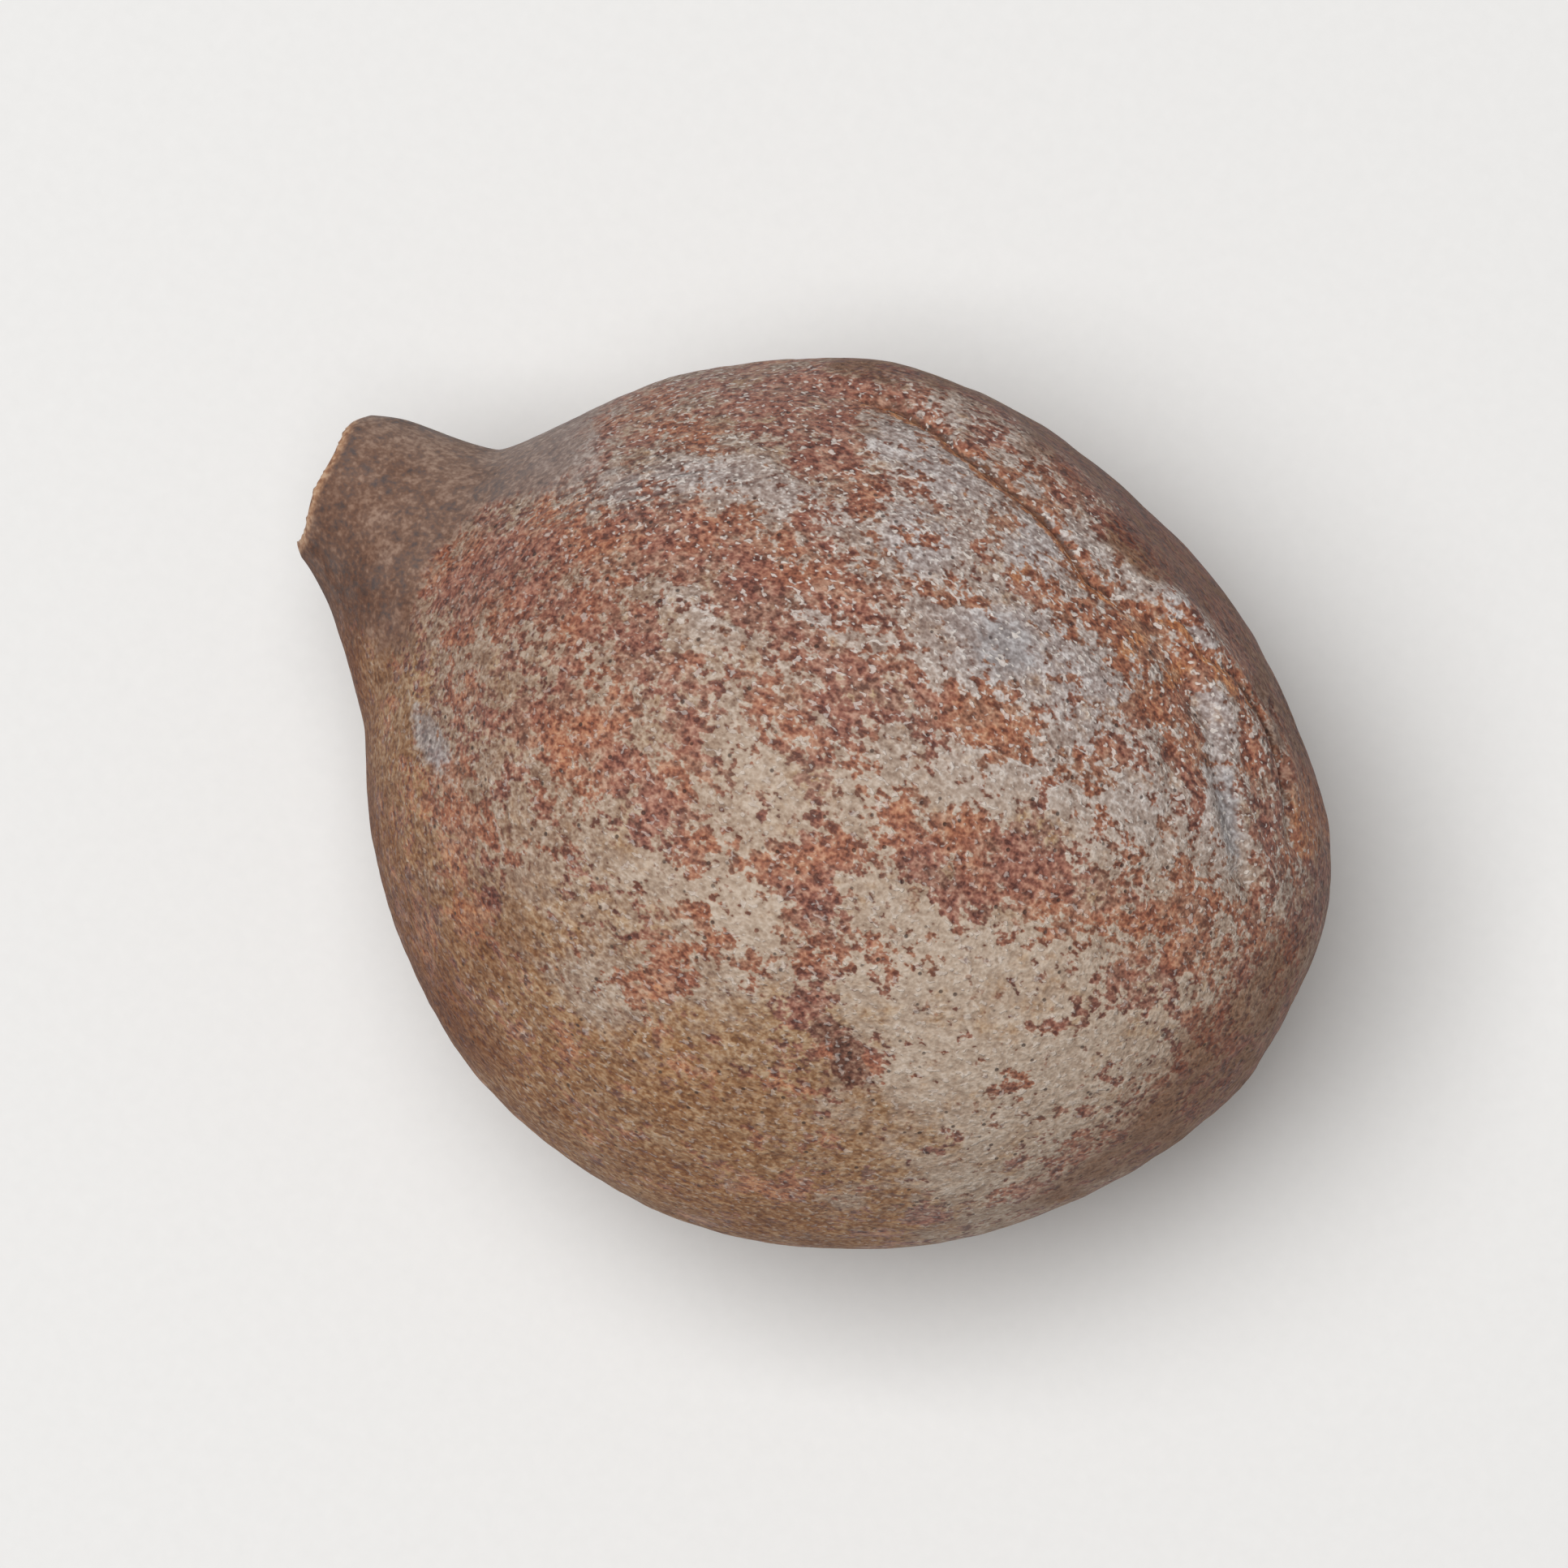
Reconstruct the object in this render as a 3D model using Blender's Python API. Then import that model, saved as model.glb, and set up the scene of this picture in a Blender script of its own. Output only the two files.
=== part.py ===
"""Dried belleric myrobalan fruit, whole, as one solid. Metres, +Z up.

The fruit lies on its side on a small flat spot. Its long axis runs along X, from the stalk
scar at -X to the far tip at +X, and the body hangs a little to the -Y side of the neck.
Sizes are named in millimetres and become metres where the vertices are placed. A station is
a distance along the axis from the stalk end. An angle is a direction round the axis in
degrees: 0 is +Y, 90 is up, 180 is -Y.
"""
import math

import bmesh
import bpy
import numpy as np

MM = 0.001

# Body and neck, as seen from above
LENGTH = 33.0
WIDEST_AT = 17.9
BODY_HALF_WIDTH = 13.08
STALK_REACH = 13.85
TIP_REACH = 15.3
TIP_POWER = 1.85
TIP_BLUNTING = 0.5
NECK_HALF_WIDTH = 2.28
NECK_FLARE = 0.34
NECK_SPREAD = 0.045
NECK_FILLET = 2.4
BODY_OFFSET_Y = -2.08
TIP_OFFSET_Y = 0.5

# Height against width, and how far the two ends leave the level of the middle
BODY_DEPTH_RATIO = 0.95
NECK_DEPTH_RATIO = 0.86
NECK_DROOP = 0.45
TIP_RISE = 0.7

# Stalk scar: a shallow recess inside a rounded, slightly wavy rim
SCAR_RECESS = 0.55
RIM_ROUNDING = 0.30
RIM_WAVE = 0.10
SCAR_RING_SHARES = (0.30, 0.56, 0.72, 0.80, 0.87, 0.93, 0.975)

# Flat spot on the underside that the fruit rests on
REST_DEPTH = 0.42
REST_BLEND = 0.07

# The fold along the upper side: a rounded welt with a narrow crease behind it
FOLD_ANGLE = 30.0
FOLD_TURN = 21.0
WELT_HEIGHT = 0.42
WELT_SPREAD = 6.0
WELT_SIDE = 7.0
CREASE_DEPTH = 0.20
CREASE_SPREAD = 2.6

# The fainter ridges of the dried fruit: angle, height and spread
FAINT_RIDGES = (
    (112.0, 0.16, 13.0),
    (186.0, 0.24, 13.0),
    (266.0, 0.30, 15.0),
    (327.0, 0.26, 13.0),
)

# Wrinkles that draw together towards the tip: angle, depth and spread
TIP_WRINKLES = (
    (58.0, 0.13, 3.4),
    (74.0, 0.11, 3.6),
    (96.0, 0.08, 4.0),
    (150.0, 0.07, 4.5),
    (214.0, 0.09, 4.5),
    (290.0, 0.10, 4.5),
    (350.0, 0.10, 4.5),
)

# Dents: station, angle, depth and radius
DENTS = (
    (6.7, 115.0, 0.28, 1.1),
    (29.1, 8.0, 0.55, 1.0),
    (22.0, 5.0, 0.35, 3.6),
    (22.0, 121.0, 0.12, 1.3),
    (11.0, 232.0, 0.22, 2.4),
    (25.5, 297.0, 0.26, 2.2),
)

# Mesh: sides round the axis and rings from pole to pole, closer together near the stalk
SIDES = 96
RINGS = 56
STALK_CLOSENESS = 0.72

# Material
SKIN_COLOUR = (0.34, 0.24, 0.18, 1.0)
SKIN_ROUGHNESS = 0.85


def ease(value, start, end):
    """Rise smoothly from 0 at start to 1 at end."""
    share = np.clip((value - start) / (end - start), 0.0, 1.0)
    return share * share * (3.0 - 2.0 * share)


def blended_max(first, second, fillet):
    """The larger of two values, with a rounded join as wide as the fillet."""
    near = np.maximum(fillet - np.abs(first - second), 0.0) / fillet
    return np.maximum(first, second) + 0.25 * fillet * near * near


def turned(angle, direction):
    """Angle from a direction, in degrees between -180 and 180."""
    return (angle - direction + 180.0) % 360.0 - 180.0


def bell(distance, spread):
    """A smooth swell of height 1."""
    return np.exp(-0.5 * (distance / spread) ** 2)


def half_width(station):
    """Half the width of the fruit: the flaring neck joined to the round body."""
    from_middle = station - WIDEST_AT
    stalk_share = np.clip(-from_middle / STALK_REACH, 0.0, 1.0)
    tip_share = np.clip(from_middle / TIP_REACH, 0.0, 1.0)
    stalk_half = BODY_HALF_WIDTH * np.sqrt(1.0 - stalk_share**2)
    tip_half = BODY_HALF_WIDTH * (1.0 - tip_share**TIP_POWER) ** (1.0 / TIP_POWER)
    neck = NECK_HALF_WIDTH + NECK_FLARE * station + NECK_SPREAD * station**2
    stalk_half = blended_max(neck * (1.0 - ease(station, 7.0, 15.0)), stalk_half, NECK_FILLET)
    return np.where(from_middle < 0.0, stalk_half, tip_half)


def half_height(station):
    """Half the height of the fruit, a little less than half its width."""
    change = ease(station, 1.0, 10.0)
    ratio = NECK_DEPTH_RATIO + (BODY_DEPTH_RATIO - NECK_DEPTH_RATIO) * change
    return half_width(station) * ratio


def centre_y(station):
    """Sideways place of the middle of a section."""
    away = BODY_OFFSET_Y * ease(station, 0.2, 6.2)
    return away + TIP_OFFSET_Y * ease(station, 25.0, LENGTH + 1.0)


def centre_z(station):
    """Level of the middle of a section: the neck droops and the tip points up slightly."""
    droop = -NECK_DROOP * (1.0 - ease(station, 0.0, 8.0))
    return droop + TIP_RISE * ease(station, 22.0, LENGTH)


def fold_relief(station, angle):
    """The welt and its crease, which turn upwards as they run towards the tip."""
    along = ease(station, 9.5, 14.0) * (1.0 - ease(station, 27.0, 32.4))
    away = turned(angle, FOLD_ANGLE + FOLD_TURN * ease(station, 12.0, 31.0))
    welt = WELT_HEIGHT * bell(away + WELT_SIDE, WELT_SPREAD)
    crease = CREASE_DEPTH * bell(away - 0.8, CREASE_SPREAD)
    return along * (welt - crease)


def ridge_relief(station, angle):
    """The faint lengthwise ridges."""
    along = ease(station, 5.0, 14.0) * (1.0 - ease(station, 26.0, 32.5))
    return along * sum(rise * bell(turned(angle, at), spread) for at, rise, spread in FAINT_RIDGES)


def wrinkle_relief(station, angle):
    """The wrinkles near the tip, cut into the surface."""
    along = ease(station, 22.0, 28.0) * (1.0 - ease(station, 31.0, 32.8))
    return -along * sum(depth * bell(turned(angle, at), spread) for at, depth, spread in TIP_WRINKLES)


def dent_relief(station, angle):
    """The dents, each round on the surface."""
    height = 0.0
    for at, direction, depth, radius in DENTS:
        across = np.radians(turned(angle, direction)) * half_width(station)
        height = height - depth * bell(np.hypot(station - at, across), radius)
    return height


def relief(station, angle):
    """Height of the surface over the plain rounded form."""
    return (
        fold_relief(station, angle)
        + ridge_relief(station, angle)
        + wrinkle_relief(station, angle)
        + dent_relief(station, angle)
    )


def surface(station, angle, share):
    """Point of the outer form. A share below 1 draws it in towards the middle of its section."""
    turn = np.radians(angle)
    swell = relief(station, angle)
    rim = 1.0 - ease(station, 0.0, 3.0)
    wave = RIM_WAVE * rim * (np.cos(2.0 * turn + 0.6) + 0.5 * np.cos(5.0 * turn))
    along = -blended_max(-station, -LENGTH, TIP_BLUNTING) + wave * share
    out_y = (half_width(station) + swell) * np.cos(turn) * share
    out_z = (half_height(station) + swell) * np.sin(turn) * share
    return along, centre_y(station) + out_y, centre_z(station) + out_z


def ring_rows():
    """Station and share of every ring, from the scar's middle to the far tip."""
    rows = [(SCAR_RECESS, 0.0)]
    for share in SCAR_RING_SHARES:
        depth = SCAR_RECESS * (1.0 - ease(share, 0.66, 0.90))
        rounding = RIM_ROUNDING * ease(share, 0.90, 1.0)
        rows.append((depth + 0.5 * rounding, share))

    far_tip = WIDEST_AT + TIP_REACH
    quarter = np.linspace(0.0, math.pi / 2.0, 4001)
    stations = RIM_ROUNDING + (far_tip - RIM_ROUNDING) * np.sin(quarter)
    steps = np.hypot(np.diff(stations), np.diff(half_width(stations)))
    travel = np.concatenate(([0.0], np.cumsum(steps)))
    places = np.linspace(0.0, 1.0, RINGS - len(rows) + 1)
    places = places * (STALK_CLOSENESS + (1.0 - STALK_CLOSENESS) * places)
    for station in np.interp(places * travel[-1], travel, stations):
        rows.append((station, 1.0))
    rows[-1] = (far_tip, 0.0)
    return rows


def settle(height):
    """Flatten the underside: exactly level inside the spot, with a rounded edge to it."""
    over = height - (height.min() + REST_DEPTH)
    edge = (over + REST_BLEND) ** 2 / (4.0 * REST_BLEND)
    return np.where(over > REST_BLEND, over, np.where(over < -REST_BLEND, 0.0, edge))


def centred(places):
    """Move places so that their two ends lie evenly about 0."""
    return places - 0.5 * (places.min() + places.max())


def skin_material():
    """The dry, matt skin."""
    material = bpy.data.materials.new("felted_skin")
    material.use_nodes = True
    shader = material.node_tree.nodes["Principled BSDF"]
    shader.inputs["Base Color"].default_value = SKIN_COLOUR
    shader.inputs["Roughness"].default_value = SKIN_ROUGHNESS
    shader.inputs["Metallic"].default_value = 0.0
    return material


def make_fruit():
    """A sphere whose rings and sides are moved onto the fruit's form."""
    form = bmesh.new()
    bmesh.ops.create_uvsphere(form, u_segments=SIDES, v_segments=RINGS, radius=1.0)
    ball = np.array([vertex.co[:] for vertex in form.verts])
    ring = np.rint(np.arccos(np.clip(ball[:, 2], -1.0, 1.0)) / math.pi * RINGS).astype(int)
    station, share = np.array(ring_rows())[ring].T
    angle = np.degrees(np.arctan2(ball[:, 1], ball[:, 0]))

    along, sideways, up = surface(station, angle, share)
    places = np.column_stack((centred(along), centred(sideways), settle(up))) * MM
    for vertex, place in zip(form.verts, places):
        vertex.co = place
    bmesh.ops.recalc_face_normals(form, faces=form.faces)

    mesh = bpy.data.meshes.new("fruit")
    form.to_mesh(mesh)
    form.free()
    mesh.shade_smooth()
    mesh.set_sharp_from_angle(angle=math.radians(50.0))
    mesh.materials.append(skin_material())
    return bpy.data.objects.new("fruit", mesh)


for thing in list(bpy.data.objects):
    bpy.data.objects.remove(thing, do_unlink=True)
collection = bpy.data.collections.new("belleric_myrobalan")
bpy.context.scene.collection.children.link(collection)
collection.objects.link(make_fruit())
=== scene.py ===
"""Looks of the dried belleric myrobalan fruit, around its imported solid. Metres, +Z up.

The fruit is a fine mesh on the same named sizes as the solid, with the crease, wrinkles and
lumps of the dried skin. Sizes are named in millimetres. A station is a distance along the
axis from the stalk end, and aside is the distance from the neck's axis towards +Y. An angle
is a direction round the axis in degrees: 0 is +Y, 90 is up, 180 is -Y.
"""
import math

import bmesh
import bpy
import numpy as np
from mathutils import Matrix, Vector, noise


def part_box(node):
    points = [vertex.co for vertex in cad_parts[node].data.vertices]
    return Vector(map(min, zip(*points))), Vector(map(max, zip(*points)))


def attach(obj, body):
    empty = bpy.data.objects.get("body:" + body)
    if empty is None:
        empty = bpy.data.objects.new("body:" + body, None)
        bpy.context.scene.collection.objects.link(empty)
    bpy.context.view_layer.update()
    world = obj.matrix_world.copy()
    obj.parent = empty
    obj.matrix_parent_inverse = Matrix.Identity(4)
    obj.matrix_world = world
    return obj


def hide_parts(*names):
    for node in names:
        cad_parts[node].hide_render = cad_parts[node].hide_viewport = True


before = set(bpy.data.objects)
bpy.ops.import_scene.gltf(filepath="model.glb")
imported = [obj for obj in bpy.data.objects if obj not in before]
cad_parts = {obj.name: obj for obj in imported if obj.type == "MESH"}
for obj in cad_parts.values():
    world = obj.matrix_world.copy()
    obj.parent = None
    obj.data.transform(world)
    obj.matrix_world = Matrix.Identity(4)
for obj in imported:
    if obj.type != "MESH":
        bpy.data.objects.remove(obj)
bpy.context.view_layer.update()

MM = 0.001

# Body and neck, as seen from above
LENGTH = 33.0
WIDEST_AT = 17.9
BODY_HALF_WIDTH = 13.08
STALK_REACH = 13.85
TIP_REACH = 15.3
TIP_POWER = 1.85
TIP_BLUNTING = 0.5
NECK_HALF_WIDTH = 2.28
NECK_FLARE = 0.34
NECK_SPREAD = 0.045
NECK_FILLET = 2.4
BODY_OFFSET_Y = -2.08
TIP_OFFSET_Y = 0.5

# Height against width, and how far the two ends leave the level of the middle
BODY_DEPTH_RATIO = 0.95
NECK_DEPTH_RATIO = 0.86
NECK_DROOP = 0.45
TIP_RISE = 0.7

# Stalk scar: a shallow recess inside a rounded, slightly wavy rim. The wall round the recess
# stands between two shares of the neck's radius
SCAR_RECESS = 0.55
SCAR_WALL_FOOT = 0.66
SCAR_WALL_TOP = 0.90
RIM_ROUNDING = 0.30
RIM_WAVE = 0.10

# Flat spot on the underside
REST_DEPTH = 0.42
REST_BLEND = 0.07

# The fold along the upper side: a rounded welt with a narrow crease behind it
FOLD_ANGLE = 30.0
FOLD_TURN = 21.0
WELT_HEIGHT = 0.42
WELT_SPREAD = 6.0
WELT_SIDE = 7.0
CREASE_DEPTH = 0.20
CREASE_SPREAD = 2.6

# The fainter ridges of the dried fruit: angle, height and spread
FAINT_RIDGES = (
    (112.0, 0.16, 13.0),
    (186.0, 0.24, 13.0),
    (266.0, 0.30, 15.0),
    (327.0, 0.26, 13.0),
)

# Wrinkles that draw together towards the tip: angle, depth and spread
TIP_WRINKLES = (
    (58.0, 0.13, 3.4),
    (74.0, 0.11, 3.6),
    (96.0, 0.08, 4.0),
    (150.0, 0.07, 4.5),
    (214.0, 0.09, 4.5),
    (290.0, 0.10, 4.5),
    (350.0, 0.10, 4.5),
)

# Dents: station, angle, depth and radius
DENTS = (
    (6.7, 115.0, 0.28, 1.1),
    (29.1, 8.0, 0.55, 1.0),
    (22.0, 5.0, 0.35, 3.6),
    (22.0, 121.0, 0.12, 1.3),
    (11.0, 232.0, 0.22, 2.4),
    (25.5, 297.0, 0.26, 2.2),
)

# Fine mesh: sides round the axis, closest together near one angle, and rings from pole to pole
SIDES = 352
RINGS = 276
SCAR_RINGS = 26
STALK_CLOSENESS = 0.80
CLOSEST_ANGLE = 75.0
SIDE_CLOSENESS = 0.42
PROFILE_SAMPLES = 8001

# Low relief that only the fine mesh has
LUMP_HEIGHT = 0.07
WRINKLE_HEIGHT = 0.045
SHOULDER_LINE_HEIGHT = 0.03
FELT_THICKNESS = 0.06
NECK_SKIN_THICKNESS = 0.08
SCAR_FIBRE_HEIGHT = 0.10

# The tables below give places as seen from the photograph's side, a little off the vertical.
# Each millimetre of height shifts a seen place by this much
SEEN_LEAN_X = -0.038
SEEN_LEAN_Y = 0.0787
SEEN_ROUNDS = 5

# Paths over the upper side, as (station, aside)
CREASE_LINE = (
    (12.6, 8.5),
    (13.6, 9.0),
    (14.7, 9.2),
    (16.0, 9.1),
    (16.6, 8.8),
    (18.3, 8.5),
    (19.5, 8.2),
    (20.4, 7.9),
    (21.1, 7.5),
    (21.8, 7.0),
    (22.8, 6.9),
    (23.9, 6.6),
)
OUTER_FURROW = (
    (23.0, 6.9),
    (24.9, 6.9),
    (25.8, 6.4),
    (27.0, 6.2),
    (28.1, 5.6),
    (28.8, 5.1),
    (29.6, 4.3),
    (30.3, 3.5),
)
GREY_FURROW = ((25.0, 6.0), (26.7, 4.9), (27.8, 3.5), (28.9, 2.3), (29.7, 1.4), (30.5, 0.7))
EDGE_FURROW = ((27.0, 6.6), (28.4, 6.0), (29.8, 4.0), (30.7, 2.7), (31.5, 2.3))
LOW_STREAK = (
    (17.6, -3.6),
    (18.1, -4.5),
    (18.7, -5.5),
    (19.4, -6.6),
    (20.1, -7.7),
    (21.4, -8.5),
    (22.9, -9.1),
)
INNER_STREAK = (
    (24.0, 6.3),
    (25.2, 5.6),
    (26.6, 4.4),
    (27.1, 3.5),
    (27.4, 2.8),
    (28.0, 1.9),
    (27.9, 1.0),
)
OUTER_STREAK = (
    (25.2, 6.5),
    (26.5, 6.0),
    (27.4, 5.6),
    (28.0, 4.9),
    (28.7, 4.0),
    (29.3, 3.2),
    (30.0, 2.4),
    (30.4, 1.8),
)

# Fine lines on the upper side: path, depth, width and the height of the lip on the +Y side
FINE_LINES = (
    (CREASE_LINE, 0.14, 0.12, 0.16),
    (OUTER_FURROW, 0.20, 0.18, 0.12),
    (GREY_FURROW, 0.30, 0.36, 0.0),
    (EDGE_FURROW, 0.18, 0.22, 0.0),
    (((25.1, 4.5), (26.4, 3.2), (27.0, 1.6), (27.2, 0.2)), 0.13, 0.24, 0.0),
    (((25.9, -1.1), (27.4, 0.1), (28.6, 0.9), (30.2, 1.3)), 0.12, 0.24, 0.0),
    (((5.6, 1.7), (7.5, 3.1), (9.4, 4.5), (11.3, 5.6)), 0.06, 0.14, 0.03),
    (((6.2, 2.7), (7.8, 3.9), (9.6, 5.1)), 0.05, 0.12, 0.03),
    (((7.6, 2.6), (9.2, 3.7), (11.4, 4.7), (13.2, 5.3)), 0.04, 0.12, 0.02),
)

# Lines with a rusty edge and a cleft of dark rust and painted shade, and how strong these are
RUSTED_AND_SHADED_LINES = (
    (CREASE_LINE, 1.0),
    (OUTER_FURROW, 0.9),
)

# The arc where the smooth skin of the neck ends, from -Y to +Y
NECK_ARC = (
    (4.7, -4.8),
    (4.6, -3.7),
    (4.3, -2.7),
    (4.2, -1.4),
    (4.1, 0.0),
    (4.6, 1.2),
    (5.9, 2.1),
    (6.8, 2.7),
    (7.3, 3.5),
    (6.9, 4.5),
    (6.6, 5.0),
)

# Strips of worn felt, or of thicker felt where the last value is below 0: path, width, strength
STRIPS = (
    (LOW_STREAK, 0.45, 0.40),
    (INNER_STREAK, 0.26, 0.46),
    (OUTER_STREAK, 0.17, 0.55),
    (GREY_FURROW, 0.34, -0.22),
    (EDGE_FURROW, 0.26, -0.22),
    (CREASE_LINE, 0.30, 0.30),
)

# How sharply a patch ends, and how strongly the worn and the felted patches act
PATCH_SHARPNESS = 1.4
WORN_STRENGTH = 0.72
FELTED_STRENGTH = 0.75

# Worn places on the shown side: station, aside, length, width, turn in degrees and strength
WORN = (
    (7.1, 0.1, 2.8, 1.5, 25.0, 0.50),
    (4.9, -0.6, 1.0, 1.6, 60.0, 0.35),
    (13.0, 2.9, 1.9, 1.2, 10.0, 0.70),
    (10.2, 2.8, 1.6, 0.9, 20.0, 0.35),
    (10.9, -1.9, 1.7, 0.8, 20.0, 0.40),
    (16.4, 0.3, 2.6, 1.6, 10.0, 0.22),
    (21.0, 1.8, 1.3, 0.6, -10.0, 0.55),
    (12.6, -4.3, 1.8, 1.1, -20.0, 0.32),
    (10.1, -4.0, 1.0, 0.9, 0.0, 0.26),
    (20.6, -2.9, 2.4, 0.8, 10.0, 0.30),
    (24.0, -1.6, 1.6, 1.0, 20.0, 0.38),
    (24.0, 2.5, 1.2, 0.45, 55.0, 0.60),
    (28.5, -1.4, 0.9, 0.9, 0.0, 0.50),
    (27.9, -2.9, 0.7, 0.9, 30.0, 0.35),
    (31.0, 4.0, 1.0, 1.8, 30.0, 0.60),
    (9.3, 6.6, 2.8, 0.9, 45.0, 0.35),
    (12.8, 8.3, 2.6, 0.8, 15.0, 0.30),
    (14.6, 6.4, 2.0, 0.8, 0.0, 0.35),
    (21.3, 6.0, 1.1, 0.7, -25.0, 0.30),
    (15.8, -9.4, 0.6, 0.9, 20.0, 0.30),
    (16.2, -7.3, 0.8, 0.5, 0.0, 0.28),
    (8.1, -8.9, 1.1, 2.6, 25.0, 0.32),
    (21.0, -5.4, 1.4, 0.5, 10.0, 0.28),
    (23.6, 5.8, 0.45, 0.8, -20.0, 0.55),
    (25.6, 5.2, 0.5, 1.0, -30.0, 0.50),
    (10.0, -9.6, 0.8, 1.0, 0.0, 0.45),
    (12.0, -8.1, 0.5, 0.5, 0.0, 0.40),
    (8.1, -7.6, 0.6, 0.9, 30.0, 0.30),
    (26.4, -0.6, 1.0, 0.4, 30.0, 0.35),
    (24.5, 8.5, 2.6, 0.9, -30.0, 0.35),
    (20.0, 9.6, 3.4, 0.6, -18.0, 0.30),
)

# Places where the felt is thick and pale: the same six values
FELTED = (
    (20.4, 4.0, 1.3, 1.1, 0.0, 0.60),
    (21.8, 0.4, 1.6, 0.9, 10.0, 0.45),
    (24.8, -5.6, 3.4, 1.9, 10.0, 0.42),
    (21.6, -7.0, 1.4, 1.2, 30.0, 0.20),
    (16.5, -6.1, 1.2, 0.9, 0.0, 0.40),
    (17.6, -7.6, 0.6, 1.2, 0.0, 0.30),
    (15.6, -2.3, 1.6, 0.6, -35.0, 0.40),
    (11.9, 1.2, 1.1, 0.6, -10.0, 0.40),
    (9.2, -1.7, 1.6, 0.6, 5.0, 0.35),
    (16.8, 5.8, 0.8, 0.7, 0.0, 0.45),
    (20.1, 7.1, 0.7, 0.6, -30.0, 0.45),
    (8.9, 3.8, 2.2, 0.45, 38.0, 0.35),
    (12.0, 5.2, 2.4, 0.7, 15.0, 0.30),
    (15.2, 8.0, 1.9, 0.5, -5.0, 0.50),
    (20.5, -4.0, 1.4, 0.5, -5.0, 0.40),
    (25.6, 0.9, 1.6, 1.3, 30.0, 0.30),
    (28.2, 2.6, 0.5, 2.0, 30.0, 0.32),
    (23.4, 3.6, 1.4, 0.9, -40.0, 0.30),
    (14.9, 2.4, 0.9, 0.5, 0.0, 0.25),
    (18.4, -1.2, 0.8, 0.8, 0.0, 0.20),
    (11.8, -6.9, 1.8, 1.3, 0.0, 0.15),
    (18.4, 9.8, 4.0, 1.1, -18.0, 0.12),
    (14.1, -6.4, 0.8, 0.6, 0.0, 0.30),
    (11.0, -8.4, 0.9, 0.8, 0.0, 0.28),
    (14.0, -10.2, 1.0, 0.9, 0.0, 0.28),
    (25.0, -9.6, 2.6, 1.3, 10.0, 0.32),
    (25.0, 7.3, 1.1, 0.32, -30.0, 0.50),
    (26.7, 5.4, 1.0, 0.30, -42.0, 0.45),
)

# Small marks: station, aside, length, width and turn
STAIN_MARKS = (
    (21.6, -8.7, 0.75, 0.45, -23.0),
    (20.6, -8.2, 0.35, 0.3, 0.0),
    (2.2, -0.4, 0.9, 0.7, 0.0),
)
ORANGE_MARKS = (
    (23.7, 5.8, 0.35, 0.6, -20.0),
    (25.2, 5.5, 0.30, 0.7, -30.0),
    (19.9, 6.4, 0.30, 0.4, 0.0),
    (26.9, 6.0, 0.6, 0.3, -25.0),
    (4.9, -5.5, 0.4, 0.4, 0.0),
    (30.9, 3.8, 0.7, 1.4, 30.0),
)
GREY_MARKS = (
    (6.4, -5.6, 0.9, 0.4, -40.0),
    (20.4, 4.1, 0.9, 0.8, 0.0),
    (28.6, 2.6, 1.3, 0.3, -55.0),
)
STRIPED_SHOULDER = (8.7, 3.6, 2.6, 0.8, 33.0)

# How far the edges of wide zones wander, and the size of their bays
WANDER = 2.2
WANDER_SIZE = 4.0

# Level where the worn upper skin starts and where it is full, as a share of the half height
UPPER_SKIN_LEVELS = (-0.85, -0.20)

# The noises of the skin: offset, stretch, its turn, size in millimetres, detail and roughness
NOISES = {
    "tone": (31.0, 1.6, 0.0, 2.6, 2.0, 0.55),
    "edge": (2.0, 1.3, 0.0, 1.1, 4.5, 0.72),
    "mottle": (14.0, 1.3, 0.0, 1.0, 3.0, 0.70),
    "granules": (11.0, 1.15, 0.0, 0.36, 2.0, 0.62),
    "flecks": (23.0, 1.15, 0.0, 0.16, 1.5, 0.60),
    "stripes": (17.0, 7.0, 33.0, 0.24, 1.0, 0.60),
    "far_stripes": (21.0, 6.0, -15.0, 0.40, 2.0, 0.65),
    # Crumbs of felt, which also serve as painted glints
    "crumbs_and_glints": (5.0, 1.3, 0.0, 0.19, 1.0, 0.60),
}
CRUMB_AND_GLINT_EDGE = (0.60, 0.68)
PORE_OFFSET = 8.0
PORE_CELL = 0.40
PORE_SHARE = 0.30
PORE_RADIUS = 0.20

# Cover at which the felt starts and at which it is full
FELT_EDGE = (0.40, 0.54)

# Colours from dark to light, each with its place on the noise that spreads them
MAROON = ((0.38, (0.088, 0.029, 0.022)), (0.49, (0.240, 0.090, 0.062)), (0.62, (0.420, 0.208, 0.145)))
RUST = ((0.38, (0.120, 0.038, 0.022)), (0.49, (0.315, 0.112, 0.060)), (0.62, (0.495, 0.245, 0.138)))
ORANGE = ((0.38, (0.150, 0.044, 0.020)), (0.49, (0.350, 0.130, 0.055)), (0.62, (0.560, 0.270, 0.125)))
THIN_FELT = ((0.38, (0.170, 0.092, 0.060)), (0.50, (0.300, 0.200, 0.138)), (0.63, (0.475, 0.375, 0.298)))
LILAC_FELT = ((0.38, (0.200, 0.145, 0.130)), (0.50, (0.350, 0.288, 0.268)), (0.63, (0.600, 0.555, 0.540)))
GREY_FELT = ((0.38, (0.180, 0.158, 0.155)), (0.50, (0.300, 0.275, 0.275)), (0.63, (0.480, 0.460, 0.460)))
BEIGE_FELT = ((0.38, (0.320, 0.230, 0.170)), (0.50, (0.425, 0.328, 0.252)), (0.63, (0.530, 0.435, 0.355)))
OLIVE_FELT = ((0.38, (0.150, 0.048, 0.016)), (0.50, (0.268, 0.120, 0.045)), (0.62, (0.420, 0.248, 0.130)))
TAN_FELT = ((0.38, (0.170, 0.078, 0.034)), (0.50, (0.310, 0.176, 0.092)), (0.62, (0.450, 0.318, 0.205)))
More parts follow.
